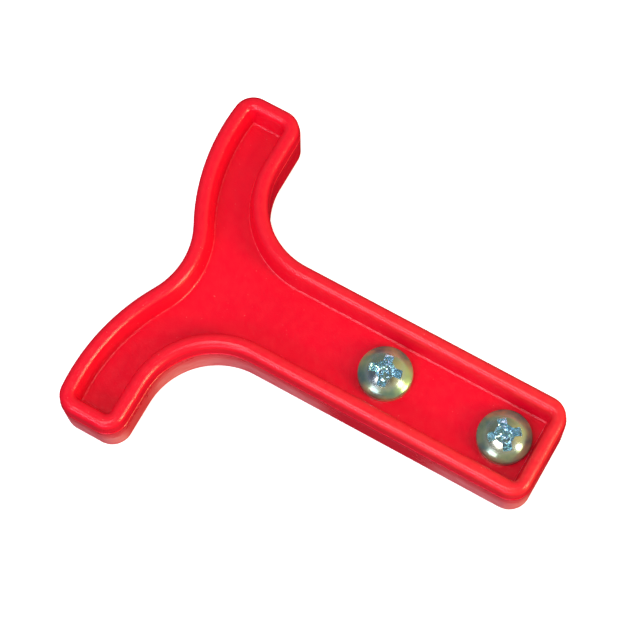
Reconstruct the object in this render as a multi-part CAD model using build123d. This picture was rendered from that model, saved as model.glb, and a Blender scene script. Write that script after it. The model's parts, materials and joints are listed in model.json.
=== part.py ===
from build123d import *
import math
import os

# Frame grip: a Y-shaped pull handle for hive frames. A front moulding drops like a lid into a
# deeper back moulding, each has a recess that faces outwards, and two machine screws with
# washers and nuts hold them together through the web between the two recesses.
# Millimetres. +X runs along the stem, away from the palm. +Z is the front of the grip.
# The origin is under the middle of the grip, on the plane that its back rim rests on.

# ---- driving dimensions of the outline ----
arm_span = 80.5
stem_width = 23.5
stem_end = 87.3            # from the bottom of the palm notch to the end of the stem
notch_radius = 16.35
palm_radius = 47.85
palm_centre_y = 31.3
finger_radius = 15.95
finger_line = 7.7          # from the bottom of the palm notch to the front edge of an arm
corner_radius = 4.75
finger_arc_middle = math.radians(225)    # direction of the middle of a finger bend's arc

# ---- section of the rim and the web ----
thickness = 14.5
front_floor = 8.9
web_thickness = 3.0
rim_top_width = 3.35       # from the outline to the mouth of a recess
rim_foot_width = 4.4       # from the outline to the edge of a recess's floor
end_rim_relief = 0.45      # how much thinner both of those are across the stem's end
rim_round = 1.4
rim_draft = 0.3            # how far the outer wall leans in between the seam and either face
foot_round = 0.4

# ---- stepped joint: the front shell drops into the back shell like a lid ----
seam_z = 10.75
seam_chamfer = 0.3
plug_inset = 2.1
plug_clearance = 0.05

# ---- M6 fasteners ----
screw_x = {"inner": 49.1, "outer": 77.2}       # from the bottom of the palm notch
screw_turn = {"inner": 12.6, "outer": 39.3}    # degrees that each cross recess is turned
thread_radius = 3.0
thread_root_radius = 2.45
thread_pitch = 1.0
screw_length = 8.0
shell_hole_radius = 3.3
head_radius = 5.85
head_height = 4.0
head_dome_radius = 9.0
head_side_radius = 0.7
head_edge_chamfer = 0.25
recess_top_radius = 4.2        # of the recess's cone, level with the top of the head
recess_bottom_radius = 1.9
recess_depth = 2.9
recess_tip_depth = 3.4
recess_tip_radius = 0.5
recess_wing_width = 1.9
recess_core_radius = 2.5
washer_radius = 5.5
washer_bore_radius = 3.2
washer_height = 1.6
washer_edge = 0.2
nut_across_flats = 10.0
nut_height = 3.2
nut_bore_radius = 3.05
nut_bore_chamfer = 0.4
nut_face_angle = math.radians(30)     # of the cone that rounds off the nut's corners

cut_overrun = 0.5      # how far a cutting tool reaches past the face that it cuts
near = 0.01            # two places closer than this are the same

# ---- worked out from the dimensions above ----
back_floor = front_floor - web_thickness
web_joint_z = (front_floor + back_floor) / 2
palm_centre_x = math.sqrt((notch_radius + palm_radius) ** 2 - palm_centre_y ** 2) - notch_radius
heel_x = palm_centre_x - palm_radius
middle_x = (stem_end + heel_x) / 2


def point_on(centre, radius, angle):
    """Point on a circle, at an angle in radians from +X."""
    return (centre[0] + radius * math.cos(angle), centre[1] + radius * math.sin(angle))


def half_outline(end_x):
    """Edges of the outline's +Y half, from the palm notch round to the end of the stem."""
    notch_centre = (-notch_radius, 0)
    palm_centre = (palm_centre_x, palm_centre_y)
    finger_centre = (finger_line + finger_radius, stem_width / 2 + finger_radius)
    tip_y = arm_span / 2

    meet = math.atan2(palm_centre_y, palm_centre_x + notch_radius)
    tip_angle = math.pi - math.asin((tip_y - palm_centre_y) / palm_radius)
    palm_start = point_on(notch_centre, notch_radius, meet)
    palm_tip = point_on(palm_centre, palm_radius, tip_angle)

    notch = ThreePointArc((0, 0), point_on(notch_centre, notch_radius, meet / 2), palm_start)
    palm_middle = point_on(palm_centre, palm_radius, (math.pi + meet + tip_angle) / 2)
    palm = ThreePointArc(palm_start, palm_middle, palm_tip)
    tip = Line(palm_tip, (finger_line, tip_y))
    arm_front = Line((finger_line, tip_y), (finger_line, finger_centre[1]))
    finger_middle = point_on(finger_centre, finger_radius, finger_arc_middle)
    finger = ThreePointArc((finger_line, finger_centre[1]), finger_middle,
                           (finger_centre[0], stem_width / 2))
    stem_side = Line((finger_centre[0], stem_width / 2), (end_x, stem_width / 2))
    stem_tip = Line((end_x, stem_width / 2), (end_x, 0))
    return [notch, palm, tip, arm_front, finger, stem_side, stem_tip]


def is_corner(vertex, end_x):
    """True at the arm tips and at the two corners of the stem's end."""
    at_tip = abs(abs(vertex.Y) - arm_span / 2) < near
    at_end = abs(vertex.X - end_x) < near and abs(vertex.Y) > near
    return at_tip or at_end


def outline(end_x):
    """Whole outline of the grip with its stem ending at end_x, and its six corners rounded."""
    upper = half_outline(end_x)
    lower = [edge.mirror(Plane.XZ) for edge in upper]
    face = make_face(upper + lower)
    corners = [v for v in face.vertices() if is_corner(v, end_x)]
    return fillet(corners, corner_radius)


def layer(inset, z, end_x=stem_end):
    """The outline moved inwards by the same distance all round, as one face at height z."""
    face = outline(end_x)
    if inset > 0:
        face = offset(face, amount=-inset, kind=Kind.INTERSECTION)
    return face.faces()[0].moved(Location((0, 0, z)))


def stacked(*levels, end_x=stem_end):
    """Solid through the outline at several (inset, z) levels, with straight slopes between."""
    return loft([layer(inset, z, end_x) for inset, z in levels], ruled=True)


def recess(face_z, floor_z):
    """What is cut away from a face of the grip down to the floor of its recess."""
    levels = sorted([(rim_foot_width, floor_z), (rim_top_width, face_z)], key=lambda level: level[1])
    return stacked(*levels, end_x=stem_end + end_rim_relief)


def straight(inset, low_z, high_z):
    """Solid with upright walls on an inset outline."""
    return extrude(layer(inset, low_z), amount=high_z - low_z)


def edges_at(solid, z):
    """Edges that lie flat at height z."""
    return solid.edges().filter_by_position(Axis.Z, z - near, z + near)


def with_screw_holes(shell):
    """The shell with a clearance hole for each screw."""
    for x in screw_x.values():
        shell -= Pos(x, 0, web_joint_z) * Cylinder(shell_hole_radius, thickness)
    return shell


def make_front_shell():
    """Front moulding: the upper rim and front floor, with a plug below that fits the back."""
    rim = stacked((seam_chamfer, seam_z), (0, seam_z + seam_chamfer), (rim_draft, thickness))
    shell = rim + straight(plug_inset, web_joint_z, seam_z)
    shell -= recess(thickness, front_floor)
    shell = fillet(edges_at(shell, thickness), rim_round)
    shell = fillet(edges_at(shell, front_floor), foot_round)
    return with_screw_holes(shell)


def make_back_shell():
    """Back moulding: the deep outer wall and back floor, open above for the front's plug."""
    shell = stacked((rim_draft, 0), (0, seam_z - seam_chamfer), (seam_chamfer, seam_z))
    shell -= straight(plug_inset - plug_clearance, web_joint_z, seam_z)
    shell -= recess(0, back_floor)
    shell = fillet(edges_at(shell, 0), rim_round)
    shell = fillet(edges_at(shell, back_floor), foot_round)
    return with_screw_holes(shell)


def head_profile():
    """Half section of a low domed head that sits on Z = 0."""
    dome_centre_z = head_height - head_dome_radius
    side_centre_x = head_radius - head_side_radius
    reach = head_dome_radius - head_side_radius
    side_centre_z = dome_centre_z + math.sqrt(reach ** 2 - side_centre_x ** 2)
    slope = math.atan2(side_centre_z - dome_centre_z, side_centre_x)
    side_centre = (side_centre_x, side_centre_z)
    shoulder = point_on(side_centre, head_side_radius, slope)
    side_middle = point_on(side_centre, head_side_radius, slope / 2)
    dome_middle = point_on((0, dome_centre_z), head_dome_radius, (slope + math.pi / 2) / 2)
    edges = [
        Line((0, 0), (head_radius - head_edge_chamfer, 0)),
        Line((head_radius - head_edge_chamfer, 0), (head_radius, head_edge_chamfer)),
        Line((head_radius, head_edge_chamfer), (head_radius, side_centre_z)),
        ThreePointArc((head_radius, side_centre_z), side_middle, shoulder),
        ThreePointArc(shoulder, dome_middle, (0, head_height)),
        Line((0, head_height), (0, 0)),
    ]
    return make_face(edges)


def cross_recess():
    """Tapered cross that a driver's tip fits, pointing down from the top of the head."""
    top_z = head_height + cut_overrun
    height = recess_depth + cut_overrun
    slope = (recess_top_radius - recess_bottom_radius) / recess_depth
    mouth_radius = recess_top_radius + slope * cut_overrun
    middle = Pos(0, 0, top_z - height / 2)
    cone = middle * Cone(recess_bottom_radius, mouth_radius, height)
    wing = middle * Box(2 * mouth_radius, recess_wing_width, height)
    wings = wing + Rot(0, 0, 90) * wing
    core_height = recess_tip_depth + cut_overrun
    core_middle = Pos(0, 0, top_z - core_height / 2)
    core = core_middle * Cone(recess_tip_radius, recess_core_radius, core_height)
    return (cone & wings) + core


def threaded_shank():
    """Shank below the head with a thread of V rings and a chamfered end."""
    points = [(0, 0), (thread_radius, 0)]
    z = -thread_pitch / 2
    while z - thread_pitch > -screw_length:
        points.append((thread_radius, z))
        points.append((thread_root_radius, z - thread_pitch / 2))
        z -= thread_pitch
    points.append((thread_radius, z))
    points.append((thread_root_radius, -screw_length))
    points.append((0, -screw_length))
    return make_face(Polyline(*points, close=True))


def make_screw(name):
    """One machine screw, with the underside of its low domed head on the front floor."""
    half_section = Plane.XZ * (head_profile() + threaded_shank())
    screw = revolve(half_section, Axis.Z, 360) - cross_recess()
    turned = Rot(0, 0, screw_turn[name]) * screw
    return turned.moved(Location((screw_x[name], 0, front_floor)))


def circles(shape):
    """The circular edges of a shape."""
    return shape.edges().filter_by(GeomType.CIRCLE)


def make_washer(name):
    """Plain washer against the back floor, with softened outer edges."""
    ring = Cylinder(washer_radius, washer_height) - Cylinder(washer_bore_radius, washer_height)
    rims = [e for e in circles(ring) if e.radius > washer_bore_radius + near]
    ring = chamfer(rims, washer_edge)
    return ring.moved(Location((screw_x[name], 0, back_floor - washer_height / 2)))


def make_nut(name):
    """Thin hex nut under the washer, with its corners rounded off by a cone at both faces."""
    hexagon = RegularPolygon(nut_across_flats / 2, 6, major_radius=False)
    body = Pos(0, 0, -nut_height / 2) * extrude(hexagon, amount=nut_height)
    corner = nut_across_flats / math.sqrt(3)
    drop = (corner - nut_across_flats / 2) * math.tan(nut_face_angle)
    barrel = Cylinder(corner, nut_height)
    barrel = chamfer(circles(barrel), drop, corner - nut_across_flats / 2)
    bore = Cylinder(nut_bore_radius, nut_height)
    nut = (body & barrel) - bore
    rims = [e for e in circles(nut) if e.radius < nut_bore_radius + near]
    nut = chamfer(rims, nut_bore_chamfer)
    centre_z = back_floor - washer_height - nut_height / 2
    return nut.moved(Location((screw_x[name], 0, centre_z)))


def save(shape, name):
    """Write one piece, with the middle of the grip at X = 0."""
    export_step(shape.moved(Location((-middle_x, 0, 0))), f"parts/{name}.step")


os.makedirs("parts", exist_ok=True)
save(make_front_shell(), "front_shell")
save(make_back_shell(), "back_shell")
for place in screw_x:
    save(make_screw(place), f"{place}_screw")
    save(make_washer(place), f"{place}_washer")
    save(make_nut(place), f"{place}_nut")
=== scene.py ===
"""Looks of the frame grip: red moulded plastic shells held by two zinc-plated screws.

Metres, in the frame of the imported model: +X runs along the stem, +Z is the front face.
Colours are linear. The lights, the room and the materials were tuned together to one photograph.
"""

import json

import bpy
from mathutils import Matrix, Vector


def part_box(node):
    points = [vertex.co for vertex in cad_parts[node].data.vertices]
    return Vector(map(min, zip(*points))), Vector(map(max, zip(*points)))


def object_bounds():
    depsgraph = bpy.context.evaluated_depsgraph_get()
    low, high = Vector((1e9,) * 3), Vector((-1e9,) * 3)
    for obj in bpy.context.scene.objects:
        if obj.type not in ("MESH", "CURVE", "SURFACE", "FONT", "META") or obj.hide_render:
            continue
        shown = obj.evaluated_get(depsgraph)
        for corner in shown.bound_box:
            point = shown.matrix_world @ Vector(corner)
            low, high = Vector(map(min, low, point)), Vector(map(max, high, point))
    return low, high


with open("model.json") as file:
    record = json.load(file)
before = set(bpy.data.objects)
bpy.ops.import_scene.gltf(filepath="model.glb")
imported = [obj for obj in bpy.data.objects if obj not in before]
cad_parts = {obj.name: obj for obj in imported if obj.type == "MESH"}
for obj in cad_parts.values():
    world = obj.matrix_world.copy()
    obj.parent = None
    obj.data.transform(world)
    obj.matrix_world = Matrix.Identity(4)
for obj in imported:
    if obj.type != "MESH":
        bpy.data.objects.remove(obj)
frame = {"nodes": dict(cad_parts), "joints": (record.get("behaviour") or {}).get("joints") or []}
cad_low, cad_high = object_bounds()

MM = 0.001

# ---- camera ----
camera_place = Vector((0.081064, -0.126747, 0.494499))
camera_target = Vector((-0.00873, 0.004373, 0.007))
camera_up = Vector((-0.46339, 0.83062, 0.30876))
camera_lens = 136.47
camera_sensor = 36.0
camera_clip = (0.01, 20.0)

# ---- lights: the way to each from the object, width and height in metres, power in watts ----
light_distance = 1.0
overhead_way = Vector((-0.08, -0.25, 0.965))
overhead_size = (0.40, 0.40)
overhead_power = 2.8
overhead_colour = (0.92, 0.92, 1.0)
window_way = Vector((-0.15, -0.75, 0.65))
window_size = (0.40, 0.20)
window_power = 2.6
window_colour = (0.76, 0.74, 1.0)
lamp_way = Vector((0.92, 0.02, 0.38))
lamp_size = (0.28, 0.24)
lamp_power = 6.4
lamp_colour = (0.78, 0.84, 0.38)
high_lamp_way = Vector((0.745, 0.05, 0.665))
high_lamp_size = (0.22, 0.22)
high_lamp_power = 2.0
high_lamp_colour = (1.0, 0.92, 0.74)
fill_way = Vector((0.25, -0.92, 0.30))
fill_size = (0.60, 0.40)
fill_power = 1.9
fill_colour = (0.85, 0.64, 1.0)

# ---- room: what reflections see, what soft light comes from, and what the camera sees ----
mirror_west = ((0.05, 0.07, 0.12, 1), (0.17, 0.20, 0.14, 1))         # at -Y, at +Y
mirror_east = ((0.45, 0.36, 0.20, 1), (0.75, 0.66, 0.30, 1))         # at -Y, at +Y
mirror_zenith = (0.05, 0.06, 0.07, 1)
mirror_below = ((0.06, 0.045, 0.05, 1), (0.015, 0.008, 0.010, 1))    # at -Y, at +Y
soft_sky = ((0.44, 0.43, 0.44, 1), (0.60, 0.58, 0.58, 1))            # low, high
soft_below = (0.36, 0.33, 0.34, 1)
backdrop_grey = (0.90, 0.90, 0.90, 1)

# ---- floor ----
floor_width = 6.0
floor_shades = ((0.90, 0.90, 0.90, 1), (0.93, 0.93, 0.93, 1))
floor_cloud = 0.2
floor_roughness = 0.8
floor_glow = 0.6

# ---- places on the object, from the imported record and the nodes' boxes ----
front_floor_z = frame["joints"][0]["pos_m"][2]
back_floor_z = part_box("inner_washer")[1].z
screw_place = {joint["child"]: Vector(joint["pos_m"]) for joint in frame["joints"]}

# ---- red plastic ----
plastic_reds = ((0.78, 0.001, 0.020, 1), (0.81, 0.0015, 0.022, 1))
plastic_mottle = (0.82, 0.004, 0.020, 1)
# Wear from rubbing on the rims, with a painted warm sheen: the orange stands for the lamps'
# highlight.
rubbed_and_sheen_red = (0.83, 0.024, 0.030, 1)
# A painted highlight along the rounding at the foot of the walls.
foot_highlight_pink = (0.92, 0.22, 0.24, 1)
dust_pink = (0.92, 0.22, 0.20, 1)
# Scuffing on the -Y walls together with a painted reflection of the pale floor.
scuff_and_reflection_pink = (0.84, 0.36, 0.34, 1)
plastic_ior = 1.40
floor_gloss_gain = 0.03       # how much less rough the recessed floors are
scuff_roughness = 0.6
dust_share = 0.35
# How strong the scuffing and painted floor reflection are on each shell.
front_wall_scuff_and_reflection = 0.04
back_wall_scuff_and_reflection = 0.75

# ---- zinc plating, and the round head of a screw ----
head_height = 4.0 * MM
head_dome_radius = 9.0 * MM
recess_reach = 4.3 * MM
head_edge_start = 2.6 * MM
head_edge_end = 4.8 * MM
bright_zinc = ((0.66, 0.74, 0.84, 1), (0.80, 0.77, 0.58, 1))         # bluish, yellowish
# The duller edge of a screw head; its dark teal and olive are a painted reflection of the room.
dull_zinc_and_dark_reflection = ((0.13, 0.26, 0.24, 1), (0.42, 0.52, 0.27, 1))           # bluish, yellowish
spot_grey = (0.34, 0.35, 0.33, 1)
# A painted reflection: the blue in the cross recess.
recess_blue_reflection = (0.48, 0.70, 0.80, 1)
burr_height = 0.50 * MM
pit_height = 0.006 * MM
fastener_zinc = ((0.50, 0.53, 0.55, 1), (0.60, 0.57, 0.46, 1))       # bluish, yellowish
fastener_spot = (0.30, 0.31, 0.30, 1)


class Nodes:
    """A node tree, with a short way to add and join nodes."""

    def __init__(self, tree, place):
        self.tree = tree
        self.tree.nodes.clear()
        self.place = self.add("ShaderNodeTexCoord").outputs[place]

    def add(self, kind, **settings):
        node = self.tree.nodes.new(kind)
        for key, value in settings.items():
            setattr(node, key, value)
        return node

    def join(self, start, end):
        self.tree.links.new(start, end)

    def feed(self, socket, value):
        """Join an output to a socket, or set the socket to a plain value."""
        if isinstance(value, bpy.types.NodeSocket):
            self.join(value, socket)
        else:
            socket.default_value = value

    def noise(self, feature, detail=3.0, stretch=None):
        """Soft noise from 0 to 1 whose features are about that many metres wide."""
        place = self.place
        if stretch is not None:
            mapping = self.add("ShaderNodeMapping")
            self.join(place, mapping.inputs["Vector"])
            mapping.inputs["Scale"].default_value = stretch
            place = mapping.outputs["Vector"]
        node = self.add("ShaderNodeTexNoise")
        self.join(place, node.inputs["Vector"])
        node.inputs["Scale"].default_value = 1 / feature
        node.inputs["Detail"].default_value = detail
        node.inputs["Roughness"].default_value = 0.5
        return node.outputs["Fac"]

    def math(self, operation, first, second=0.0, clamp=False):
        node = self.add("ShaderNodeMath", operation=operation, use_clamp=clamp)
        self.feed(node.inputs[0], first)
        self.feed(node.inputs[1], second)
        return node.outputs["Value"]

    def product(self, first, *others):
        """All the factors multiplied together, from left to right."""
        for other in others:
            first = self.math("MULTIPLY", first, other)
        return first

    def vector(self, operation, first, second=None):
        """A vector math node between an output and a plain vector."""
        node = self.add("ShaderNodeVectorMath", operation=operation)
        self.join(first, node.inputs[0])
        if second is not None:
            node.inputs[1].default_value = second
        return node

    def distance(self, point):
        """How far the shaded point is from a point."""
        return self.vector("DISTANCE", self.place, point).outputs["Value"]

    def radius(self, point):
        """How far the shaded point is from the upright axis through a point."""
        offset = self.vector("SUBTRACT", self.place, point).outputs["Vector"]
        level = self.vector("MULTIPLY", offset, (1, 1, 0)).outputs["Vector"]
        return self.vector("LENGTH", level).outputs["Value"]

    def split(self, vector):
        """The X, Y and Z of a vector."""
        node = self.add("ShaderNodeSeparateXYZ")
        self.join(vector, node.inputs["Vector"])
        return node.outputs["X"], node.outputs["Y"], node.outputs["Z"]

    def ramp(self, value, low, high, to_low=0.0, to_high=1.0):
        """Smoothly from to_low at low to to_high at high, and level outside."""
        node = self.add("ShaderNodeMapRange", interpolation_type="SMOOTHSTEP")
        self.join(value, node.inputs["Value"])
        node.inputs["From Min"].default_value = low
        node.inputs["From Max"].default_value = high
        node.inputs["To Min"].default_value = to_low
        node.inputs["To Max"].default_value = to_high
        return node.outputs["Result"]

    def band(self, value, middle, reach, fade):
        """1 within reach of the middle, fading to 0 outside."""
        away = self.math("ABSOLUTE", self.math("SUBTRACT", value, middle))
        return self.ramp(away, reach, reach + fade, 1.0, 0.0)

    def mix(self, share, first, second):
        """From the first colour to the second as share goes from 0 to 1."""
        node = self.add("ShaderNodeMix", data_type="RGBA")
        self.feed(node.inputs[0], share)
        self.feed(node.inputs[6], first)
        self.feed(node.inputs[7], second)
        return node.outputs[2]

    def bump(self, height, distance, strength=1.0, under=None):
        """Bump of a height from 0 to 1, times a distance in metres, on top of another bump."""
        node = self.add("ShaderNodeBump")
        self.join(height, node.inputs["Height"])
        node.inputs["Distance"].default_value = distance
        self.feed(node.inputs["Strength"], strength)
        if under is not None:
            self.join(under, node.inputs["Normal"])
        return node.outputs["Normal"]


class Material(Nodes):
    """A new material around one principled shader."""

    def __init__(self, name):
        self.material = bpy.data.materials.new(name)
        self.material.use_nodes = True
        super().__init__(self.material.node_tree, "Object")
        self.shader = self.add("ShaderNodeBsdfPrincipled")
        output = self.add("ShaderNodeOutputMaterial")
        self.join(self.shader.outputs["BSDF"], output.inputs["Surface"])

    def set(self, name, value):
        self.feed(self.shader.inputs[name], value)


def recessed_floors(nodes, z):
    """1 on the flat floors of the front and the back, 0 elsewhere."""
    return nodes.math(
        "ADD",
        nodes.band(z, front_floor_z, 0.06 * MM, 0.03 * MM),
        nodes.band(z, back_floor_z, 0.06 * MM, 0.03 * MM),
        clamp=True,
    )


def scuffs_and_painted_reflection(nodes, place, amount):
    """Pale streaks on the upright walls that face -Y, weaker higher up: scuffing, and a painted
    reflection of the pale floor.

    They leave out one stretch of the stem, where the reflection is left dark.
    """
    x, y, z = place
    facing = nodes.split(nodes.add("ShaderNodeNewGeometry").outputs["Normal"])
    upright = nodes.ramp(nodes.math("ABSOLUTE", facing[2]), 0.10, 0.35, 1.0, 0.0)
    near_side = nodes.ramp(y, -8 * MM, 2 * MM, 1.0, 0.03)
    turned_near = nodes.ramp(facing[1], -0.45, 0.25, 1.0, 0.15)
    streaks = nodes.noise(1.1 * MM, detail=4.0, stretch=(0.35, 0.35, 1.6))
    uneven = nodes.ramp(streaks, 0.25, 0.75, 0.4, 1.0)
    low_down = nodes.ramp(z, 5 * MM, 10 * MM, 0.85, 0.2)
    # The stretch left out is where the painted reflection is dark instead of pale.
    dark_reflection_stretch = nodes.band(x, 14 * MM, 6 * MM, 14 * MM)
    outside_dark_reflection = nodes.ramp(dark_reflection_stretch, 0.0, 1.0, 1.0, 0.0)
    return nodes.product(
        upright, near_side, amount, turned_near, uneven, low_down, outside_dark_reflection
    )


def plastic_colour(nodes, place, mottle, scuffs_and_reflection):
    """Red with faint clouds, paler on the rims from wear and a painted sheen, a painted
    highlight at the foot of the walls, dust, and scuffing mixed with a painted floor reflection.

    The wear and painted warm sheen on the rims grow toward +X, where the lamps stand; the
    painted highlight at the foot is weaker on the palm side, as painted shade there.
    """
    x, y, z = place
    clouds = nodes.noise(14 * MM, detail=2.0)
    colour = nodes.mix(nodes.ramp(clouds, 0.3, 0.7), *plastic_reds)
    colour = nodes.mix(nodes.ramp(mottle, 0.35, 0.75, 0.0, 0.4), colour, plastic_mottle)

    # Wear from rubbing and a painted warm sheen on the rims, stronger toward +X where the lamps
    # stand.
    rubbed_and_sheen = nodes.product(
        nodes.ramp(z, 11 * MM, 13.5 * MM),
        nodes.ramp(mottle, 0.3, 0.7, 0.6, 1.0),
        nodes.ramp(x, -50 * MM, 50 * MM, 0.15, 1.0),
    )
    colour = nodes.mix(rubbed_and_sheen, colour, rubbed_and_sheen_red)

    broken = nodes.noise(0.9 * MM, detail=3.0)
    # A painted highlight along the rounding at the foot of the walls, weaker on the palm side as
    # painted shade.
    foot_highlight = nodes.product(
        nodes.band(z, front_floor_z + 0.2 * MM, 0.06 * MM, 0.08 * MM),
        nodes.ramp(broken, 0.35, 0.6, 0.15, 0.55),
        nodes.ramp(x, -34 * MM, -24 * MM, 0.4, 1.0),
    )
    colour = nodes.mix(foot_highlight, colour, foot_highlight_pink)

    dust = nodes.ramp(nodes.noise(0.55 * MM, detail=1.0), 0.76, 0.80)
    colour = nodes.mix(nodes.product(dust, dust_share), colour, dust_pink)
    return nodes.mix(scuffs_and_reflection, colour, scuff_and_reflection_pink)


def red_plastic(name, wall_scuff_and_reflection):
    """Moulded red plastic: satin, with a little wear, painted reflection, sheen and highlights,
    and a fine uneven surface.
    """
    nodes = Material(name)
    place = nodes.split(nodes.place)
    mottle = nodes.noise(1.6 * MM, detail=4.0)
    # Pale marks on the -Y walls: scuffing and a painted reflection of the pale floor.
    scuffs_and_reflection = scuffs_and_painted_reflection(nodes, place, wall_scuff_and_reflection)
    nodes.set("Base Color", plastic_colour(nodes, place, mottle, scuffs_and_reflection))

    satin = nodes.ramp(mottle, 0.3, 0.7, 0.20, 0.27)
    on_floor = nodes.product(recessed_floors(nodes, place[2]), floor_gloss_gain)
    satin = nodes.math("SUBTRACT", satin, on_floor)
    # Roughness rises where the scuffing and painted floor reflection lie.
    nodes.set("Roughness", nodes.math("ADD", satin, nodes.product(scuffs_and_reflection, scuff_roughness)))
    nodes.set("IOR", plastic_ior)

    peel = nodes.bump(nodes.noise(0.5 * MM, detail=2.0), 0.035 * MM)
    pores = nodes.bump(nodes.noise(0.16 * MM, detail=2.0), 0.018 * MM, under=peel)
    nodes.set("Normal", pores)
    return nodes.material


def cross_recess(nodes, place, radius):
    """1 inside the recess of a screw's head, which lies below the dome, and 0 elsewhere."""
    dome_middle = Vector((place.x, place.y, place.z + head_height - head_dome_radius))
    depth_start = head_dome_radius - 0.12 * MM
    depth_full = head_dome_radius - 0.30 * MM
    below_dome = nodes.ramp(nodes.distance(dome_middle), depth_full, depth_start, 1.0, 0.0)
    in_reach = nodes.ramp(radius, recess_reach - 0.2 * MM, recess_reach, 1.0, 0.0)
    return nodes.product(below_dome, in_reach)


def zinc_screw(name, place):
    """Zinc plating on a screw: bright dome, duller edge coloured as a painted dark olive
    reflection, burred cross recess coloured as a painted bluish reflection.
    """
    nodes = Material(name)
    radius = nodes.radius(place)
    in_recess = cross_recess(nodes, place, radius)
    at_edge = nodes.ramp(radius, head_edge_start, head_edge_end)
    yellowish = nodes.ramp(nodes.noise(4 * MM, detail=3.0), 0.30, 0.68)
    spots = nodes.noise(0.9 * MM, detail=3.0)

    bright = nodes.mix(yellowish, *bright_zinc)
    bright = nodes.mix(nodes.ramp(spots, 0.55, 0.8, 0.0, 0.35), bright, spot_grey)
    # The dark olive of the edge is a painted reflection, on a duller finish.
    colour = nodes.mix(at_edge, bright, nodes.mix(yellowish, *dull_zinc_and_dark_reflection))
    # The blue in the recess is a painted reflection.
    nodes.set("Base Color", nodes.mix(in_recess, colour, recess_blue_reflection))

    metal = nodes.ramp(at_edge, 0.0, 1.0, 1.0, 0.65)
    nodes.set("Metallic", nodes.math("SUBTRACT", metal, nodes.product(in_recess, 0.10)))
    gloss = nodes.ramp(spots, 0.3, 0.7, 0.15, 0.20)
    nodes.set("Roughness", nodes.math("ADD", gloss, nodes.product(at_edge, 0.06)))

    pits = nodes.bump(nodes.noise(0.8 * MM, detail=1.0), pit_height)
    burrs = nodes.noise(1.0 * MM, detail=0.8)
    nodes.set("Normal", nodes.bump(burrs, burr_height, strength=in_recess, under=pits))
    return nodes.material


def zinc_fastener():
    """Slightly dulled zinc plating on the nuts and washers."""
    nodes = Material("zinc_fastener")
    yellowish = nodes.ramp(nodes.noise(4 * MM, detail=3.0), 0.38, 0.62)
    spots = nodes.noise(0.5 * MM, detail=4.0)
    colour = nodes.mix(yellowish, *fastener_zinc)
    colour = nodes.mix(nodes.ramp(spots, 0.55, 0.8, 0.0, 0.35), colour, fastener_spot)
    nodes.set("Base Color", colour)
    nodes.set("Metallic", 1.0)
    nodes.set("Roughness", nodes.ramp(spots, 0.3, 0.7, 0.26, 0.40))
    nodes.set("Normal", nodes.bump(nodes.noise(0.35 * MM, detail=3.0), 0.012 * MM))
    return nodes.material


def wear_material(node, material):
    """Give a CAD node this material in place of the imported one."""
    slots = frame["nodes"][node].material_slots
    if len(slots) == 0:
        frame["nodes"][node].data.materials.append(material)
    for slot in slots:
        slot.material = material


def dress_object():
    """Every CAD node gets its finish."""
    fastener = zinc_fastener()
    for node in frame["nodes"]:
        if node == "front_shell":
            wear_material(node, red_plastic(node, front_wall_scuff_and_reflection))
        elif node == "back_shell":
            wear_material(node, red_plastic(node, back_wall_scuff_and_reflection))
        elif node in screw_place:
            wear_material(node, zinc_screw(node, screw_place[node]))
        else:
            wear_material(node, fastener)


def make_floor():
    """A plain pale floor that glows slightly and throws no light back on the grip."""
    bpy.ops.mesh.primitive_plane_add(size=floor_width, location=(0, 0, cad_low.z))
    floor = bpy.context.active_object
    floor.name = "floor"
    nodes = Material("floor_white")
    nodes.set("Base Color", nodes.mix(nodes.noise(floor_cloud, detail=2.0), *floor_shades))
    nodes.set("Roughness", floor_roughness)
    nodes.set("Emission Color", (1, 1, 1, 1))
    nodes.set("Emission Strength", floor_glow)
    floor.data.materials.append(nodes.material)
    floor.visible_diffuse = False
    floor.visible_glossy = False


def area_light(name, way, size, power, colour):
    """A soft light panel that faces the object."""
    data = bpy.data.lights.new(name, "AREA")
    data.shape = "RECTANGLE"
    data.size, data.size_y = size
    data.energy = power
    data.color = colour
    light = bpy.data.objects.new(name, data)
    bpy.context.scene.collection.objects.link(light)
    light.location = way.normalized() * light_distance
    light.rotation_euler = way.to_track_quat("Z", "Y").to_euler()


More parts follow.
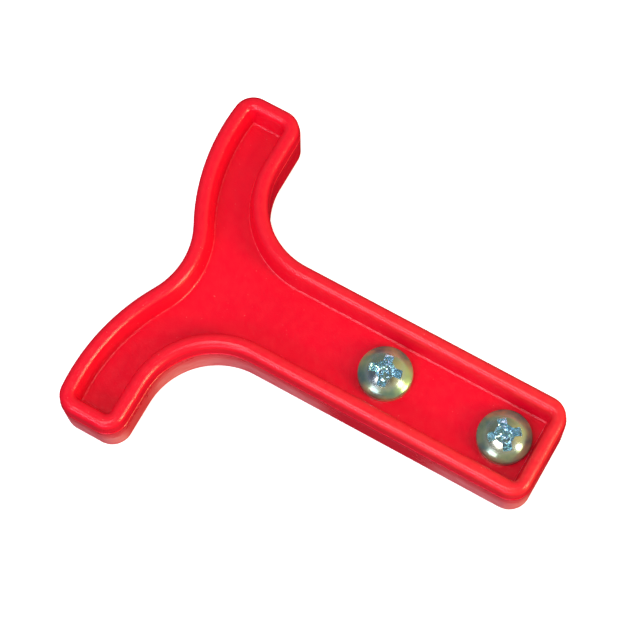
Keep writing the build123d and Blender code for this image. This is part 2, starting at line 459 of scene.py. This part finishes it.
def make_lights():
    """Bluish panels overhead and at the side, two yellowish lamps at +X, and a violet fill."""
    area_light("overhead", overhead_way, overhead_size, overhead_power, overhead_colour)
    area_light("window", window_way, window_size, window_power, window_colour)
    area_light("lamp", lamp_way, lamp_size, lamp_power, lamp_colour)
    area_light("high_lamp", high_lamp_way, high_lamp_size, high_lamp_power, high_lamp_colour)
    area_light("fill", fill_way, fill_size, fill_power, fill_colour)


def mirrored_room(nodes, place, upwards):
    """What reflections see: warm to the east, dark to the west, overhead and below."""
    x, y, z = place
    north = nodes.ramp(y, -0.6, 0.6)
    west = nodes.mix(north, *mirror_west)
    east = nodes.mix(north, *mirror_east)
    above = nodes.mix(nodes.ramp(x, -0.5, 0.8), west, east)
    above = nodes.mix(nodes.ramp(z, 0.86, 0.97), above, mirror_zenith)
    below = nodes.mix(nodes.ramp(y, -0.2, 0.1), *mirror_below)
    return nodes.mix(upwards, below, above)


def make_room():
    """Three backgrounds: one for soft light, one for reflections, and a plain pale backdrop."""
    world = bpy.data.worlds.new("room")
    bpy.context.scene.world = world
    world.use_nodes = True
    nodes = Nodes(world.node_tree, "Generated")
    place = nodes.split(nodes.place)
    upwards = nodes.ramp(place[2], -0.05, 0.05)
    sky = nodes.mix(nodes.ramp(place[2], 0.0, 0.9), *soft_sky)
    even = nodes.mix(upwards, soft_below, sky)
    path = nodes.add("ShaderNodeLightPath")
    mirrored = mirrored_room(nodes, place, upwards)
    colour = nodes.mix(path.outputs["Is Glossy Ray"], even, mirrored)
    colour = nodes.mix(path.outputs["Is Camera Ray"], colour, backdrop_grey)
    background = nodes.add("ShaderNodeBackground")
    nodes.join(colour, background.inputs["Color"])
    output = nodes.add("ShaderNodeOutputWorld")
    nodes.join(background.outputs["Background"], output.inputs["Surface"])


def make_camera():
    """Camera at the viewing angle of the photograph."""
    data = bpy.data.cameras.new("camera")
    data.lens = camera_lens
    data.sensor_width = camera_sensor
    data.clip_start, data.clip_end = camera_clip
    camera = bpy.data.objects.new("camera", data)
    bpy.context.scene.collection.objects.link(camera)
    back = (camera_place - camera_target).normalized()
    right = camera_up.cross(back).normalized()
    up = back.cross(right)
    turn = Matrix((right, up, back)).transposed()
    camera.matrix_world = Matrix.Translation(camera_place) @ turn.to_4x4()
    bpy.context.scene.camera = camera


make_camera()
dress_object()
make_floor()
make_lights()
make_room()
bpy.context.scene.view_settings.view_transform = "Standard"
